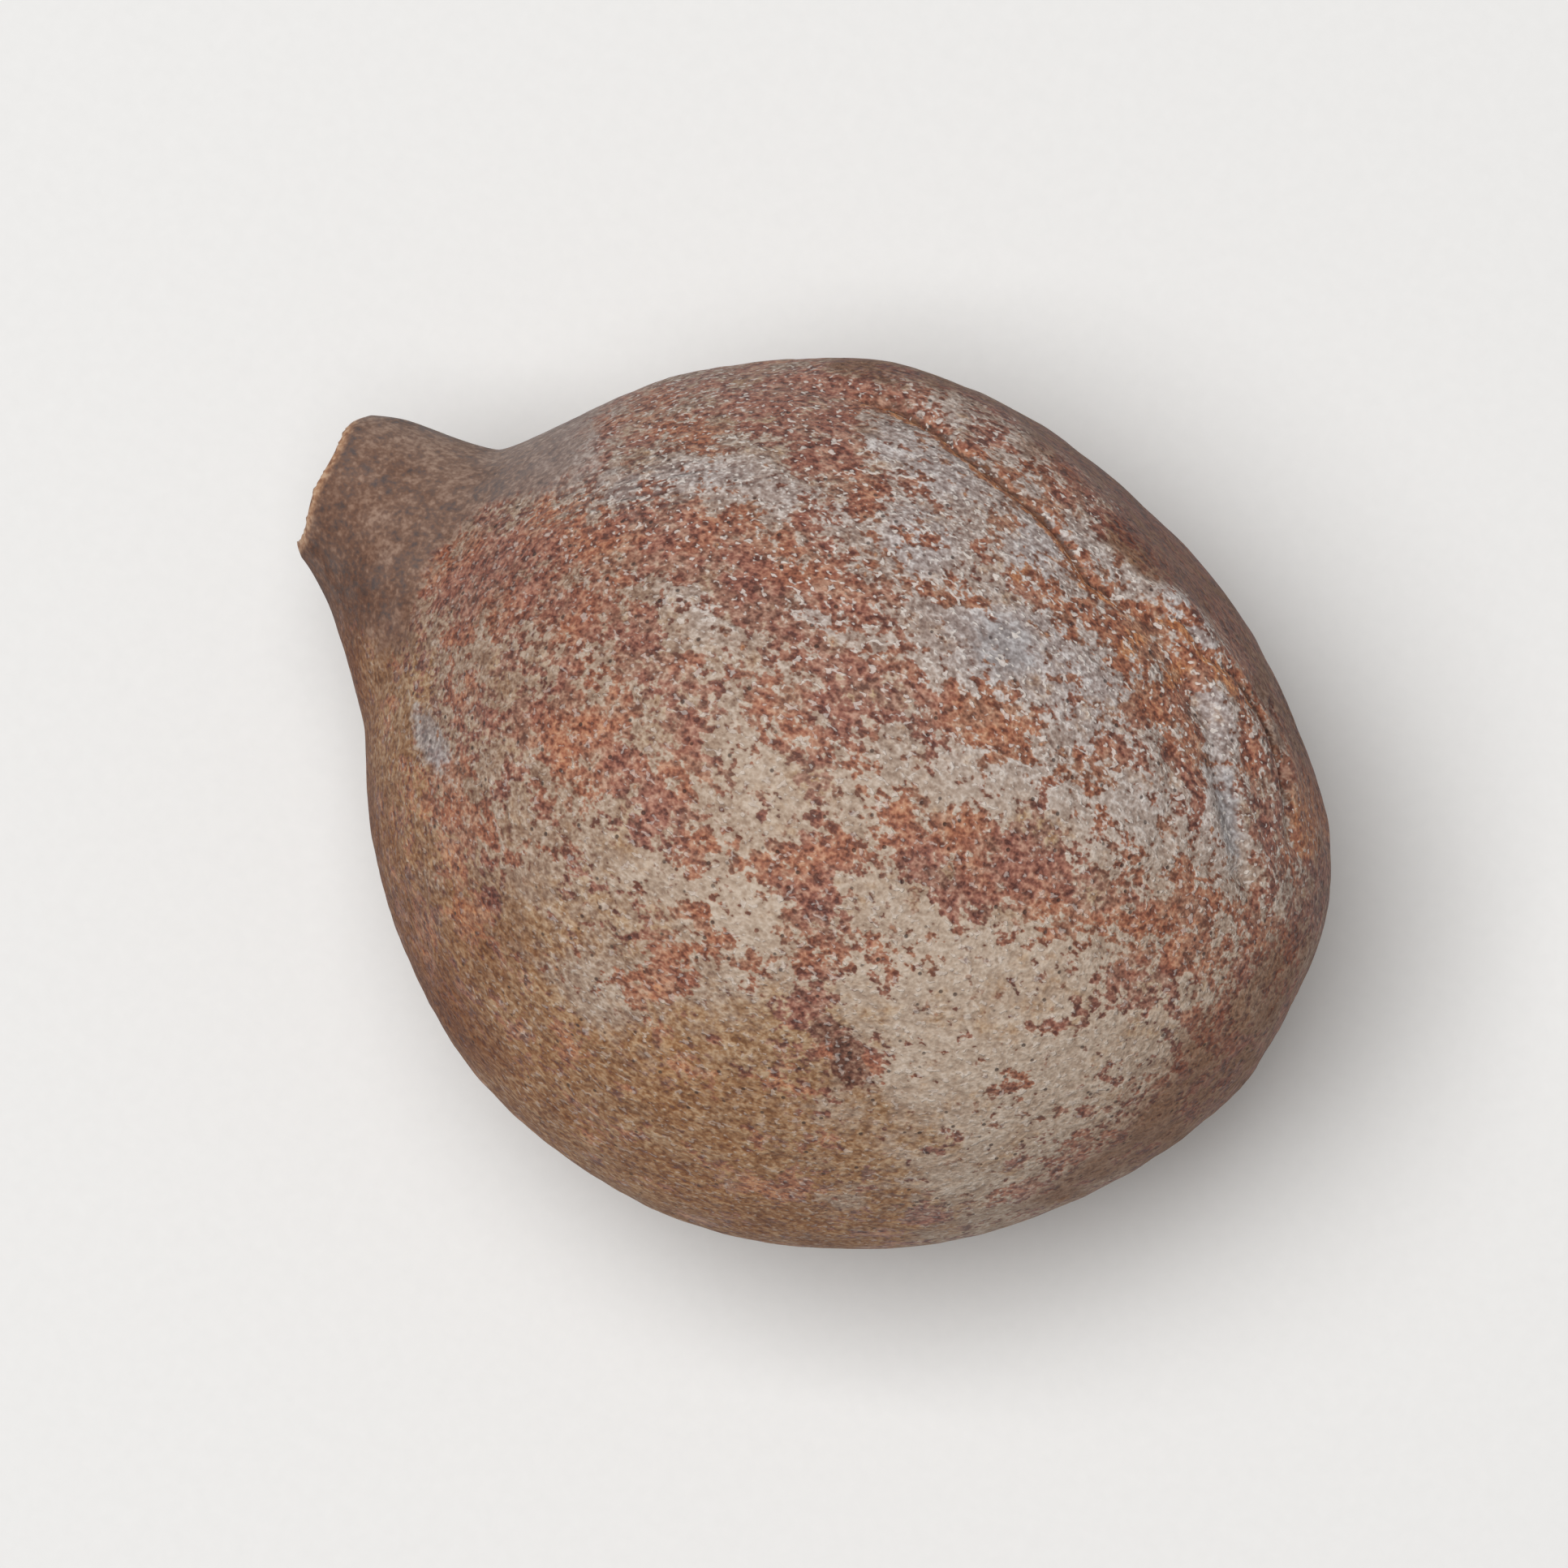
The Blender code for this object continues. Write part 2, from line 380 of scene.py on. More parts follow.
NECK_FELT = ((0.39, (0.105, 0.080, 0.076)), (0.50, (0.190, 0.112, 0.080)), (0.61, (0.330, 0.225, 0.170)))
STAIN = ((0.38, (0.050, 0.020, 0.014)), (0.50, (0.145, 0.060, 0.039)), (0.62, (0.310, 0.180, 0.125)))
SCAR_FIBRE = ((0.36, (0.060, 0.032, 0.018)), (0.50, (0.200, 0.110, 0.055)), (0.62, (0.380, 0.240, 0.120)))
RIM = ((0.38, (0.240, 0.105, 0.052)), (0.50, (0.420, 0.228, 0.128)), (0.62, (0.560, 0.370, 0.240)))
# Painted shade: the tint multiplied in where the skin turns from the light, and on the darker clouds of
# tone
PAINTED_SHADE_AND_TONE_TINT = (0.560, 0.385, 0.290)
# Pale crumbs of felt, also used as painted highlights for glints
CRUMB_AND_GLINT = (0.700, 0.640, 0.590)
PORE = (0.050, 0.026, 0.020)
# Dark rust and painted shade in the core of the crease and the outer furrow
CREASE_RUST_AND_SHADE = (0.095, 0.042, 0.028)
STRIPE_DARK = (0.130, 0.078, 0.070)

# Finish of the skin: matt, and a little more so on felt
SKIN_ROUGHNESS = 0.65
FELT_ROUGHNESS_RISE = 0.25
SKIN_SPECULAR = 0.28
SKIN_SHEEN = 0.04
SKIN_SHEEN_ROUGHNESS = 0.6

# Camera: the photograph looks almost straight down, with the neck towards the upper left
VIEW_AZIMUTH = 25.8
VIEW_ELEVATION = 85.0
CAMERA_DISTANCE = 0.375
FRAME_WIDTH = 0.0470
SENSOR_WIDTH = 36.0

# Stage: one large soft light almost overhead, a dim warm world and a floor of pale card
LIGHT_AZIMUTH = 290.0
LIGHT_ELEVATION = 80.0
LIGHT_DISTANCE = 0.70
LIGHT_SIZE = 0.42
LIGHT_POWER = 5.3
WORLD_COLOUR = (1.0, 0.985, 0.965, 1.0)
WORLD_STRENGTH = 0.18
FLOOR_SIZE = 4.0
CARD_DARK = (0.74, 0.735, 0.725)
CARD_LIGHT = (0.78, 0.775, 0.765)
CARD_TOOTH = 0.5
CARD_ROUGHNESS = 0.9
CARD_SPECULAR = 0.2


def ease(value, start, end):
    """Rise smoothly from 0 at start to 1 at end."""
    share = np.clip((value - start) / (end - start), 0.0, 1.0)
    return share * share * (3.0 - 2.0 * share)


def blended_max(first, second, fillet):
    """The larger of two values, with a rounded join as wide as the fillet."""
    near = np.maximum(fillet - np.abs(first - second), 0.0) / fillet
    return np.maximum(first, second) + 0.25 * fillet * near * near


def turned(angle, direction):
    """Angle from a direction, in degrees between -180 and 180."""
    return (angle - direction + 180.0) % 360.0 - 180.0


def bell(distance, spread):
    """A smooth swell of height 1."""
    return np.exp(-0.5 * (distance / spread) ** 2)


# Form of the solid

def half_width(station):
    """Half the width of the fruit: the flaring neck joined to the round body."""
    from_middle = station - WIDEST_AT
    stalk_share = np.clip(-from_middle / STALK_REACH, 0.0, 1.0)
    tip_share = np.clip(from_middle / TIP_REACH, 0.0, 1.0)
    stalk_half = BODY_HALF_WIDTH * np.sqrt(1.0 - stalk_share**2)
    tip_half = BODY_HALF_WIDTH * (1.0 - tip_share**TIP_POWER) ** (1.0 / TIP_POWER)
    neck = NECK_HALF_WIDTH + NECK_FLARE * station + NECK_SPREAD * station**2
    stalk_half = blended_max(neck * (1.0 - ease(station, 7.0, 15.0)), stalk_half, NECK_FILLET)
    return np.where(from_middle < 0.0, stalk_half, tip_half)


def half_height(station):
    """Half the height of the fruit, a little less than half its width."""
    change = ease(station, 1.0, 10.0)
    ratio = NECK_DEPTH_RATIO + (BODY_DEPTH_RATIO - NECK_DEPTH_RATIO) * change
    return half_width(station) * ratio


def centre_y(station):
    """Sideways place of the middle of a section."""
    away = BODY_OFFSET_Y * ease(station, 0.2, 6.2)
    return away + TIP_OFFSET_Y * ease(station, 25.0, LENGTH + 1.0)


def centre_z(station):
    """Level of the middle of a section: the neck droops and the tip points up slightly."""
    droop = -NECK_DROOP * (1.0 - ease(station, 0.0, 8.0))
    return droop + TIP_RISE * ease(station, 22.0, LENGTH)


def fold_relief(station, angle):
    """The welt and its crease, which turn upwards as they run towards the tip."""
    along = ease(station, 9.5, 14.0) * (1.0 - ease(station, 27.0, 32.4))
    away = turned(angle, FOLD_ANGLE + FOLD_TURN * ease(station, 12.0, 31.0))
    welt = WELT_HEIGHT * bell(away + WELT_SIDE, WELT_SPREAD)
    crease = CREASE_DEPTH * bell(away - 0.8, CREASE_SPREAD)
    return along * (welt - crease)


def ridge_relief(station, angle):
    """The faint lengthwise ridges."""
    along = ease(station, 5.0, 14.0) * (1.0 - ease(station, 26.0, 32.5))
    return along * sum(rise * bell(turned(angle, at), spread) for at, rise, spread in FAINT_RIDGES)


def wrinkle_relief(station, angle):
    """The wrinkles near the tip, cut into the surface."""
    along = ease(station, 22.0, 28.0) * (1.0 - ease(station, 31.0, 32.8))
    return -along * sum(depth * bell(turned(angle, at), spread) for at, depth, spread in TIP_WRINKLES)


def dent_relief(station, angle):
    """The dents, each round on the surface."""
    height = 0.0
    for at, direction, depth, radius in DENTS:
        across = np.radians(turned(angle, direction)) * half_width(station)
        height = height - depth * bell(np.hypot(station - at, across), radius)
    return height


def relief(station, angle):
    """Height of the surface over the plain rounded form."""
    return (
        fold_relief(station, angle)
        + ridge_relief(station, angle)
        + wrinkle_relief(station, angle)
        + dent_relief(station, angle)
    )


def surface(station, angle, share):
    """Points of the outer form. A share below 1 draws them in towards the middle of the section."""
    turn = np.radians(angle)
    swell = relief(station, angle)
    rim = 1.0 - ease(station, 0.0, 3.0)
    wave = RIM_WAVE * rim * (np.cos(2.0 * turn + 0.6) + 0.5 * np.cos(5.0 * turn))
    along = -blended_max(-station, -LENGTH, TIP_BLUNTING) + wave * share
    out_y = (half_width(station) + swell) * np.cos(turn) * share
    out_z = (half_height(station) + swell) * np.sin(turn) * share
    return np.column_stack((along, centre_y(station) + out_y, centre_z(station) + out_z))


def settle(height):
    """Flatten the underside: exactly level inside the spot, with a rounded edge to it."""
    over = height - (height.min() + REST_DEPTH)
    edge = (over + REST_BLEND) ** 2 / (4.0 * REST_BLEND)
    return np.where(over > REST_BLEND, over, np.where(over < -REST_BLEND, 0.0, edge))


def ring_rows():
    """Station and share of every ring, from the scar's middle to the far tip."""
    rows = []
    for share in np.linspace(0.0, 1.0, SCAR_RINGS + 1)[:-1]:
        depth = SCAR_RECESS * (1.0 - ease(share, SCAR_WALL_FOOT, SCAR_WALL_TOP))
        rounding = RIM_ROUNDING * (1.0 - math.sqrt(1.0 - ease(share, SCAR_WALL_TOP, 1.0)))
        rows.append((depth + rounding, share))

    far_tip = WIDEST_AT + TIP_REACH
    quarter = np.linspace(0.0, math.pi / 2.0, PROFILE_SAMPLES)
    stations = RIM_ROUNDING + (far_tip - RIM_ROUNDING) * np.sin(quarter)
    steps = np.hypot(np.diff(stations), np.diff(half_width(stations)))
    travel = np.concatenate(([0.0], np.cumsum(steps)))
    places = np.linspace(0.0, 1.0, RINGS - len(rows) + 1)
    places = places * (STALK_CLOSENESS + (1.0 - STALK_CLOSENESS) * places)
    rows.extend((station, 1.0) for station in np.interp(places * travel[-1], travel, stations))
    rows[-1] = (far_tip, 0.0)
    return np.array(rows)


# Places on the skin

def field(places, size, stretch=(1.0, 1.0, 1.0), octaves=3, seed=0.0):
    """Smooth noise of about -1 to 1 over places, with lumps of the given size in millimetres."""
    scaled = places / (np.array(stretch) * size) + seed
    return np.array([noise.fractal(Vector(place), 1.0, 2.0, octaves) for place in scaled])


def seen(places):
    """Station and aside of places, as the tables give them."""
    return places[:, 0] + SEEN_LEAN_X * places[:, 2], places[:, 1] + SEEN_LEAN_Y * places[:, 2]


def wandered(places):
    """Seen places with an uneven shift, so that wide zones have no straight edges."""
    station, aside = seen(places)
    station = station + WANDER * field(places, WANDER_SIZE, seed=15.1)
    return station, aside + WANDER * field(places, WANDER_SIZE, seed=19.3)


def upper_share(places, lift):
    """1 on the worn upper skin, 0 on the rest, with an uneven edge below the widest level."""
    wave = 0.30 * field(places, 4.5, stretch=(1.6, 1.0, 1.0), seed=12.2)
    return ease(lift + wave, *UPPER_SKIN_LEVELS)


def lengthwise_bands(places):
    """Bands that run the length of the fruit, about -1 to 1."""
    return field(places, 3.2, stretch=(3.5, 1.0, 1.0), octaves=2, seed=3.1)


def upper_points(path):
    """Points of the upper surface that are seen on a path.

    A point's height and its true place depend on each other, and settle in a few rounds.
    """
    station, aside = np.array(path).T
    height = np.zeros(len(station))
    for _ in range(SEEN_ROUNDS):
        true_station = station - SEEN_LEAN_X * height
        true_aside = aside - SEEN_LEAN_Y * height
        lean = np.clip((true_aside - centre_y(true_station)) / half_width(true_station), -1.0, 1.0)
        points = surface(true_station, np.degrees(np.arccos(lean)), 1.0)
        height = points[:, 2]
    return points


def near_line(places, path):
    """Distance from a path over the upper surface, the same with a sign, and the share run along."""
    corners = upper_points(path)
    near = np.full(len(places), np.inf)
    side = np.zeros(len(places))
    travel = np.zeros(len(places))
    for index, (start, end) in enumerate(zip(corners[:-1], corners[1:])):
        run = end - start
        share = np.clip((places - start) @ run / (run @ run), 0.0, 1.0)
        away = places - start - share[:, None] * run
        distance = np.linalg.norm(away, axis=1)
        closer = distance < near
        near = np.where(closer, distance, near)
        side = np.where(closer, np.sign(run[0] * away[:, 1] - run[1] * away[:, 0]), side)
        travel = np.where(closer, (index + share) / (len(corners) - 1), travel)
    return near, near * side, travel


def ends_fade(travel):
    """1 along a line, falling to 0 at both of its ends."""
    return ease(travel, 0.0, 0.15) * (1.0 - ease(travel, 0.85, 1.0))


def line_relief(places, path, width):
    """1 on a line over the upper surface, 0 away from it, and fading to both ends."""
    near, _, travel = near_line(places, path)
    return bell(near, width) * ends_fade(travel)


def lip_relief(places, path):
    """1 just beside a line on its +Y side, falling slowly to 0 away from it."""
    _, side, travel = near_line(places, path)
    return ease(side, 0.0, 0.22) * (1.0 - ease(side, 0.3, 2.0)) * ends_fade(travel)


def patch(station, aside, mark):
    """1 in the middle of an oval patch, falling smoothly to 0 round it."""
    at, off, length, width, turn = mark[:5]
    cosine = math.cos(math.radians(turn))
    sine = math.sin(math.radians(turn))
    along = ((station - at) * cosine + (aside - off) * sine) / length
    across = ((aside - off) * cosine - (station - at) * sine) / width
    return np.exp(-0.5 * (along**2 + across**2) ** PATCH_SHARPNESS)


def patches(station, aside, table):
    """Sum of patches, each times its strength."""
    return sum(mark[5] * patch(station, aside, mark) for mark in table)


def marks(station, aside, upper, table):
    """The strongest of several marks on the upper side."""
    return upper * np.max([patch(station, aside, mark) for mark in table], axis=0)


# Where each look lies on the skin, as one value at every vertex. Wide zones take the wandered
# places, and small ones the seen places

def smooth_cover(wide, upper, bands):
    """1 on the plain brown felt of the flanks and the underside, 0 on the worn upper skin."""
    station, aside = wide
    low_side = ease(-aside, 5.5, 13.0) * (1.0 - ease(station, 20.0, 30.0))
    stalk_side = ease(-aside, 0.0, 2.5) * (1.0 - ease(station + 0.7 * aside, 1.0, 4.5))
    edge = 0.8 * ease(-aside, 11.0, 14.0)
    shown = np.maximum(np.maximum(low_side, stalk_side), edge)
    hidden = 0.70 + 0.55 * bands
    return (shown * upper + hidden * (1.0 - upper)).clip(0.0, 1.0)


def felt_fields(places, upper, smooth, bands):
    """How far the felt covers the skin, how thick it is, and how plain and brown."""
    blots = field(places, 1.9, stretch=(1.5, 1.0, 1.0), seed=9.7)
    station, aside = seen(places)
    worn = WORN_STRENGTH * patches(station, aside, WORN)
    worn = worn + sum(depth * line_relief(places, path, width) for path, width, depth in STRIPS)
    thick = patches(station, aside, FELTED)

    shown = 0.47 + (0.22 + 0.16 * smooth) * blots + 0.20 * smooth + 0.08 * ease(-aside, 4.0, 8.0)
    shown = shown - worn + FELTED_STRENGTH * thick
    hidden = 0.78 + 0.25 * bands + 0.40 * blots
    cover = np.clip(hidden + (shown - hidden) * upper, -0.2, 1.2)

    shown = 0.16 + 1.6 * thick + 0.38 * ease(station, 10.0, 17.0) + 0.15 * blots
    shown = shown - 0.40 * ease(-aside, 4.0, 9.0) * (1.0 - ease(station, 15.0, 24.0))
    hidden = 0.25 - 0.60 * bands
    pale = np.clip(hidden + (shown - hidden) * upper, 0.0, 1.0)
    return {"felt": cover, "pale": pale, "smooth": smooth * (1.0 - 1.8 * upper * thick).clip(0.3)}


def neck_cover(places, upper):
    """1 on the smooth skin of the neck, 0 past the arc where the worn skin begins."""
    station, aside = seen(places)
    arc_station, arc_aside = np.array(NECK_ARC).T
    edge = np.interp(aside, arc_aside, arc_station)
    edge = edge + 0.30 * field(places, 1.0, seed=6.6)
    blur = 0.50 * (1.0 + 3.0 * ease(aside, 1.5, 4.0))
    shown = (1.0 - ease(station - edge, -blur, blur)) * (1.0 - ease(-aside, 2.5, 5.0))
    hidden = 1.0 - ease(station + 0.8 * field(places, 1.4, seed=8.2), 3.0, 7.0)
    return shown * upper + hidden * (1.0 - upper)


def far_share(wide):
    """Near 1 on the skin past the crease, 0 on the near side of it."""
    station, aside = wide
    past_crease = aside - np.interp(station, *np.array(CREASE_LINE).T)
    return ease(past_crease, 0.0, 1.8) * (0.8 + 0.2 * ease(station, 17.0, 22.0))


def painted_shade_and_tone_share(places, wide, upper, smooth, far_side):
    """How dark the skin is: painted shade in zones along the outline of the shown side, and darker clouds
    of tone elsewhere.
    """
    station, aside = seen(places)
    wide_station, wide_aside = wide
    # Each zone is painted shade: past the crease, the far edge, the tip edge, and the flanks of the neck
    # and the stalk end
    far_edge = 0.9 * ease(0.6 * station + 0.8 * aside, 20.9, 22.2) * ease(station, 24.0, 26.0)
    tip_edge = 0.8 * ease(wide_station - 0.15 * wide_aside, 29.0, 32.5)
    neck_flank = 0.5 * ease(-aside, 0.8, 2.5) * (1.0 - ease(station, 4.0, 6.5))
    stalk_flank = 0.5 * ease(-wide_aside, 5.5, 9.5) * (1.0 - ease(wide_station, 9.0, 15.0))
    stalk_side = 0.32 * (1.0 - ease(wide_station, 7.0, 14.0)) * (1.0 - ease(aside, 0.0, 4.0))
    low_flank = 0.22 * ease(-wide_aside, 9.0, 12.5)
    zones = [far_side, far_edge, tip_edge, neck_flank, stalk_flank, stalk_side, low_flank]

    clouds = ease(field(places, 5.5, stretch=(2.2, 1.0, 1.0), seed=2.4), 0.0, 0.5)
    shown = np.max(zones, axis=0) + 0.30 * clouds * smooth
    return shown * upper + 0.55 * clouds * (1.0 - upper)


def rusted_and_shaded_lines(places, upper):
    """The rusty edges of the lines, and their clefts of dark rust and painted shade."""
    rust = np.zeros(len(places))
    cleft_rust_and_shade = np.zeros(len(places))
    for path, strength in RUSTED_AND_SHADED_LINES:
        _, side, travel = near_line(places, path)
        along = strength * ends_fade(travel) * upper
        rust = np.maximum(rust, bell(side + 0.20, 0.16) * along)
        cleft_rust_and_shade = np.maximum(cleft_rust_and_shade, bell(side - 0.02, 0.09) * along)
    return {"rust": rust, "cleft_rust_and_shade": cleft_rust_and_shade}


def mark_fields(places, upper):
    """The small marks, and the patch of fine lines on the shoulder."""
    station, aside = seen(places)
    return {
        "striped": upper * patch(station, aside, STRIPED_SHOULDER),
        "stain": marks(station, aside, upper, STAIN_MARKS),
        "orange": marks(station, aside, upper, ORANGE_MARKS),
        "grey": marks(station, aside, upper, GREY_MARKS),
    }


def scar_fields(station, share):
    """The rim of the stalk scar, and the fibres inside it."""
    return {
        "rim": ease(share, 0.80, 0.92) * (1.0 - ease(station, 0.05, 0.32)),
        "scar": 1.0 - ease(share, 0.70, 0.84),
    }


def skin_fields(places, lift, upper):
    """All that the skin's material reads, apart from the scar."""
    station, aside = seen(places)
    wide = wandered(places)
    bands = lengthwise_bands(places)
    smooth = smooth_cover(wide, upper, bands)
    far_side = far_share(wide)
    lilac = ease(aside, -3.0, 5.0) * ease(station, 3.0, 9.0) * (1.0 - 0.7 * far_side)
    return {
        **felt_fields(places, upper, smooth, bands),
        **rusted_and_shaded_lines(places, upper),
        **mark_fields(places, upper),
        # Painted light: how high a place sits, so that the brown felt is paler on top and darker on the
        # flanks
        "top": 0.75 * ease(lift, 0.25, 0.85),
        "lilac": lilac * upper,
        "painted_shade_and_tone": painted_shade_and_tone_share(places, wide, upper, smooth, far_side),
        "far": far_side * upper,
        "neck": neck_cover(places, upper),
    }


# Fine mesh

def fine_relief(places, station, upper, neck, cover):
    """Height of the fine lines, lumps and felt over the form of the solid."""
    height = np.zeros(len(places))
    for path, depth, width, lip in FINE_LINES:
        height = height - depth * line_relief(places, path, width)
        if lip:
            height = height + lip * lip_relief(places, path)
    height = height * upper
    body = 1.0 - neck
    shoulder = ease(station, 4.0, 7.0) * (1.0 - ease(station, 11.0, 16.0))
    lumps = field(places, 4.0, octaves=2, seed=1.3)
    wrinkles = field(places, 1.1, stretch=(1.8, 1.0, 1.0), seed=5.2)
    shoulder_lines = field(places, 0.5, stretch=(6.0, 1.0, 1.0), octaves=2, seed=7.7)
    height = height + LUMP_HEIGHT * lumps
    height = height + WRINKLE_HEIGHT * body * wrinkles
    height = height + SHOULDER_LINE_HEIGHT * shoulder * shoulder_lines
    height = height + FELT_THICKNESS * body * ease(cover, 0.30, 0.65) * upper
    return height + NECK_SKIN_THICKNESS * neck * upper


def outward(station, angle):
    """Unit vectors away from the axis, turned towards the tip near it."""
    turn = np.radians(angle)
    direction = np.column_stack((1.5 * ease(station, 27.0, LENGTH), np.cos(turn), np.sin(turn)))
    return direction / np.linalg.norm(direction, axis=1)[:, None]


def centred_on_solid(places):
    """Places moved level, so that they lie evenly about the middle of the solid."""
    low, high = (np.array(corner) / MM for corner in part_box("fruit"))
    middle = 0.5 * (places.min(axis=0) + places.max(axis=0))
    shift = 0.5 * (low + high) - middle
    shift[2] = 0.0
    return places + shift


def ball_mesh():
    """A sphere of rings and sides, with the ring and the angle of every vertex on the fruit."""
    form = bmesh.new()
    bmesh.ops.create_uvsphere(form, u_segments=SIDES, v_segments=RINGS, radius=1.0)
    mesh = bpy.data.meshes.new("fruit_skin")
    form.to_mesh(mesh)
    form.free()
    ball = np.empty(len(mesh.vertices) * 3)
    mesh.vertices.foreach_get("co", ball)
    ball = ball.reshape(-1, 3)
    ring = np.rint(np.arccos(np.clip(ball[:, 2], -1.0, 1.0)) / math.pi * RINGS).astype(int)
    angle = np.arctan2(ball[:, 1], ball[:, 0])
    angle = angle - SIDE_CLOSENESS * np.sin(angle - math.radians(CLOSEST_ANGLE))
    return mesh, ring, np.degrees(angle)


def make_fruit():
    """The fruit's fine mesh, with the attributes that its material reads."""
    mesh, ring, angle = ball_mesh()
    station, share = ring_rows()[ring].T
    places = surface(station, angle, share)
    lift = (places[:, 2] - centre_z(station)) / half_height(station).clip(0.5)
    upper = upper_share(places, lift)
    fields = {**skin_fields(places, lift, upper), **scar_fields(station, share)}

    rise = fine_relief(places, station, upper, fields["neck"], fields["felt"])
    rise = rise * ease(share, 0.97, 1.0) * ease(station, 0.0, 1.5)
    fibres = SCAR_FIBRE_HEIGHT * field(places, 0.35, seed=4.4) * (share < SCAR_WALL_TOP)
    places = places + outward(station, angle) * rise[:, None]
    places[:, 0] = places[:, 0] + fibres
    places[:, 2] = settle(places[:, 2])
    mesh.vertices.foreach_set("co", (centred_on_solid(places) * MM).ravel())
    mesh.update()

    for name, values in fields.items():
        layer = mesh.attributes.new(name, "FLOAT", "POINT")
        layer.data.foreach_set("value", values.astype(np.float32))
    mesh.shade_smooth()
    mesh.materials.append(skin_material())
    fruit = bpy.data.objects.new("fruit_skin", mesh)
    bpy.context.scene.collection.objects.link(fruit)
    return fruit


# Nodes

def put(tree, kind, inputs=None, **settings):
    """Add a node. An input is a value, or the socket to link it to."""
    node = tree.nodes.new(kind)
    for name, value in settings.items():
        setattr(node, name, value)
    for key, value in (inputs or {}).items():
        if isinstance(value, bpy.types.NodeSocket):
            tree.links.new(value, node.inputs[key])
        else:
            node.inputs[key].default_value = value
    return node


def maths(tree, operation, first, second=0.0, third=0.0):
    """One sum on values or sockets. MULTIPLY_ADD is first times second, plus third."""
    inputs = {0: first, 1: second, 2: third}
    return put(tree, "ShaderNodeMath", inputs, operation=operation).outputs[0]


def attribute(tree, name):
    """A value that the mesh holds at every vertex."""
    return put(tree, "ShaderNodeAttribute", attribute_name=name).outputs["Fac"]


def mixed(tree, factor, first, second, blend="MIX"):
    """Mix two colours."""
    node = put(tree, "ShaderNodeMix", data_type="RGBA", blend_type=blend)
    for socket, value in ((node.inputs[0], factor), (node.inputs[6], first), (node.inputs[7], second)):
        if isinstance(value, bpy.types.NodeSocket):
            tree.links.new(value, socket)
        elif isinstance(value, tuple):
            socket.default_value = (*value, 1.0)
        else:
            socket.default_value = value
    return node.outputs[2]


def stepped(tree, value, start, end):
    """Rise smoothly from 0 to 1 while the value goes from start to end."""
    inputs = {"Value": value, "From Min": start, "From Max": end}
    return put(tree, "ShaderNodeMapRange", inputs, interpolation_type="SMOOTHSTEP").outputs[0]


def object_place(tree):
    """Coordinates of the object, in millimetres."""
    inputs = {0: put(tree, "ShaderNodeTexCoord").outputs["Object"], "Scale": 1.0 / MM}
    return put(tree, "ShaderNodeVectorMath", inputs, operation="SCALE").outputs[0]


def shifted(tree, coordinates, offset, stretch=1.0, turn=0.0):
    """Coordinates moved, and drawn out by the stretch along X, or along X turned about Z."""
    inputs = {
        "Vector": coordinates,
        "Location": (offset, 0.7 * offset, 1.3 * offset),
        "Rotation": (0.0, 0.0, math.radians(turn)),
        "Scale": (stretch, 1.0, 1.0),
    }
    return put(tree, "ShaderNodeMapping", inputs, vector_type="TEXTURE").outputs[0]


def grain(tree, coordinates, size, detail, roughness):
    """Noise with lumps of a size in millimetres, mostly 0.3 to 0.7."""
    inputs = {"Vector": coordinates, "Scale": 1.0 / size, "Detail": detail, "Roughness": roughness}
    return put(tree, "ShaderNodeTexNoise", inputs).outputs[0]


def ramp(tree, value, stops):
    """Colour by value. Each stop is a value and its colour."""
    node = put(tree, "ShaderNodeValToRGB", {0: value})
    elements = node.color_ramp.elements
    elements[0].position = stops[0][0]
    elements[1].position = stops[-1][0]
    for position, _ in stops[1:-1]:
        elements.new(position)
    for element, (_, colour) in zip(elements, stops):
        element.color = (*colour, 1.0)
    return node.outputs[0]


def weighted(tree, *parts):
    """Sum of values, each times its weight."""
    total = 0.0
    for value, weight in parts:
        total = maths(tree, "MULTIPLY_ADD", value, weight, total)
    return total


def roughened(tree, value, *parts):
    """A value with noises added to it, each about its middle and times its weight."""
    for extra, weight in parts:
        value = maths(tree, "MULTIPLY_ADD", maths(tree, "SUBTRACT", extra, 0.5), weight, value)
    return value


def dots(tree, coordinates, size, share, radius):
    """1 in small dots, one in each of a share of the cells."""
    node = put(tree, "ShaderNodeTexVoronoi", {"Vector": coordinates, "Scale": 1.0 / size})
    chance = put(tree, "ShaderNodeSeparateColor", {0: node.outputs["Color"]}).outputs[0]
    spot = stepped(tree, node.outputs["Distance"], radius, radius * 0.4)
    chosen = stepped(tree, chance, 1.0 - share - 0.01, 1.0 - share + 0.01)
    return maths(tree, "MULTIPLY", spot, chosen)


# Materials

def skin_noises(tree, place):
    """The noises of the skin: crumbs with their painted glints and pores from 0 to 1, and the rest mostly
    0.3 to 0.7.
    """
    noises = {}
    for name, (offset, stretch, turn, size, detail, roughness) in NOISES.items():
        coordinates = shifted(tree, place, offset, stretch, turn)
        noises[name] = grain(tree, coordinates, size, detail, roughness)
    noises["crumbs_and_glints"] = stepped(tree, noises["crumbs_and_glints"], *CRUMB_AND_GLINT_EDGE)
    noises["pores"] = dots(tree, shifted(tree, place, PORE_OFFSET), PORE_CELL, PORE_SHARE, PORE_RADIUS)
    noises["crust"] = weighted(tree, (noises["granules"], 0.45), (noises["flecks"], 0.55))
    return noises


def felt_cover(tree, noises):
    """How far the felt covers the skin, broken up by the grain, and by stripes on the far side."""
    cover = roughened(
        tree,
        attribute(tree, "felt"),
        (noises["edge"], 2.9),
        (noises["granules"], 1.5),
        (noises["flecks"], 0.5),
    )
    far_stripes = roughened(tree, 0.0, (noises["far_stripes"], 3.0))
    return maths(tree, "MULTIPLY_ADD", far_stripes, attribute(tree, "far"), cover)


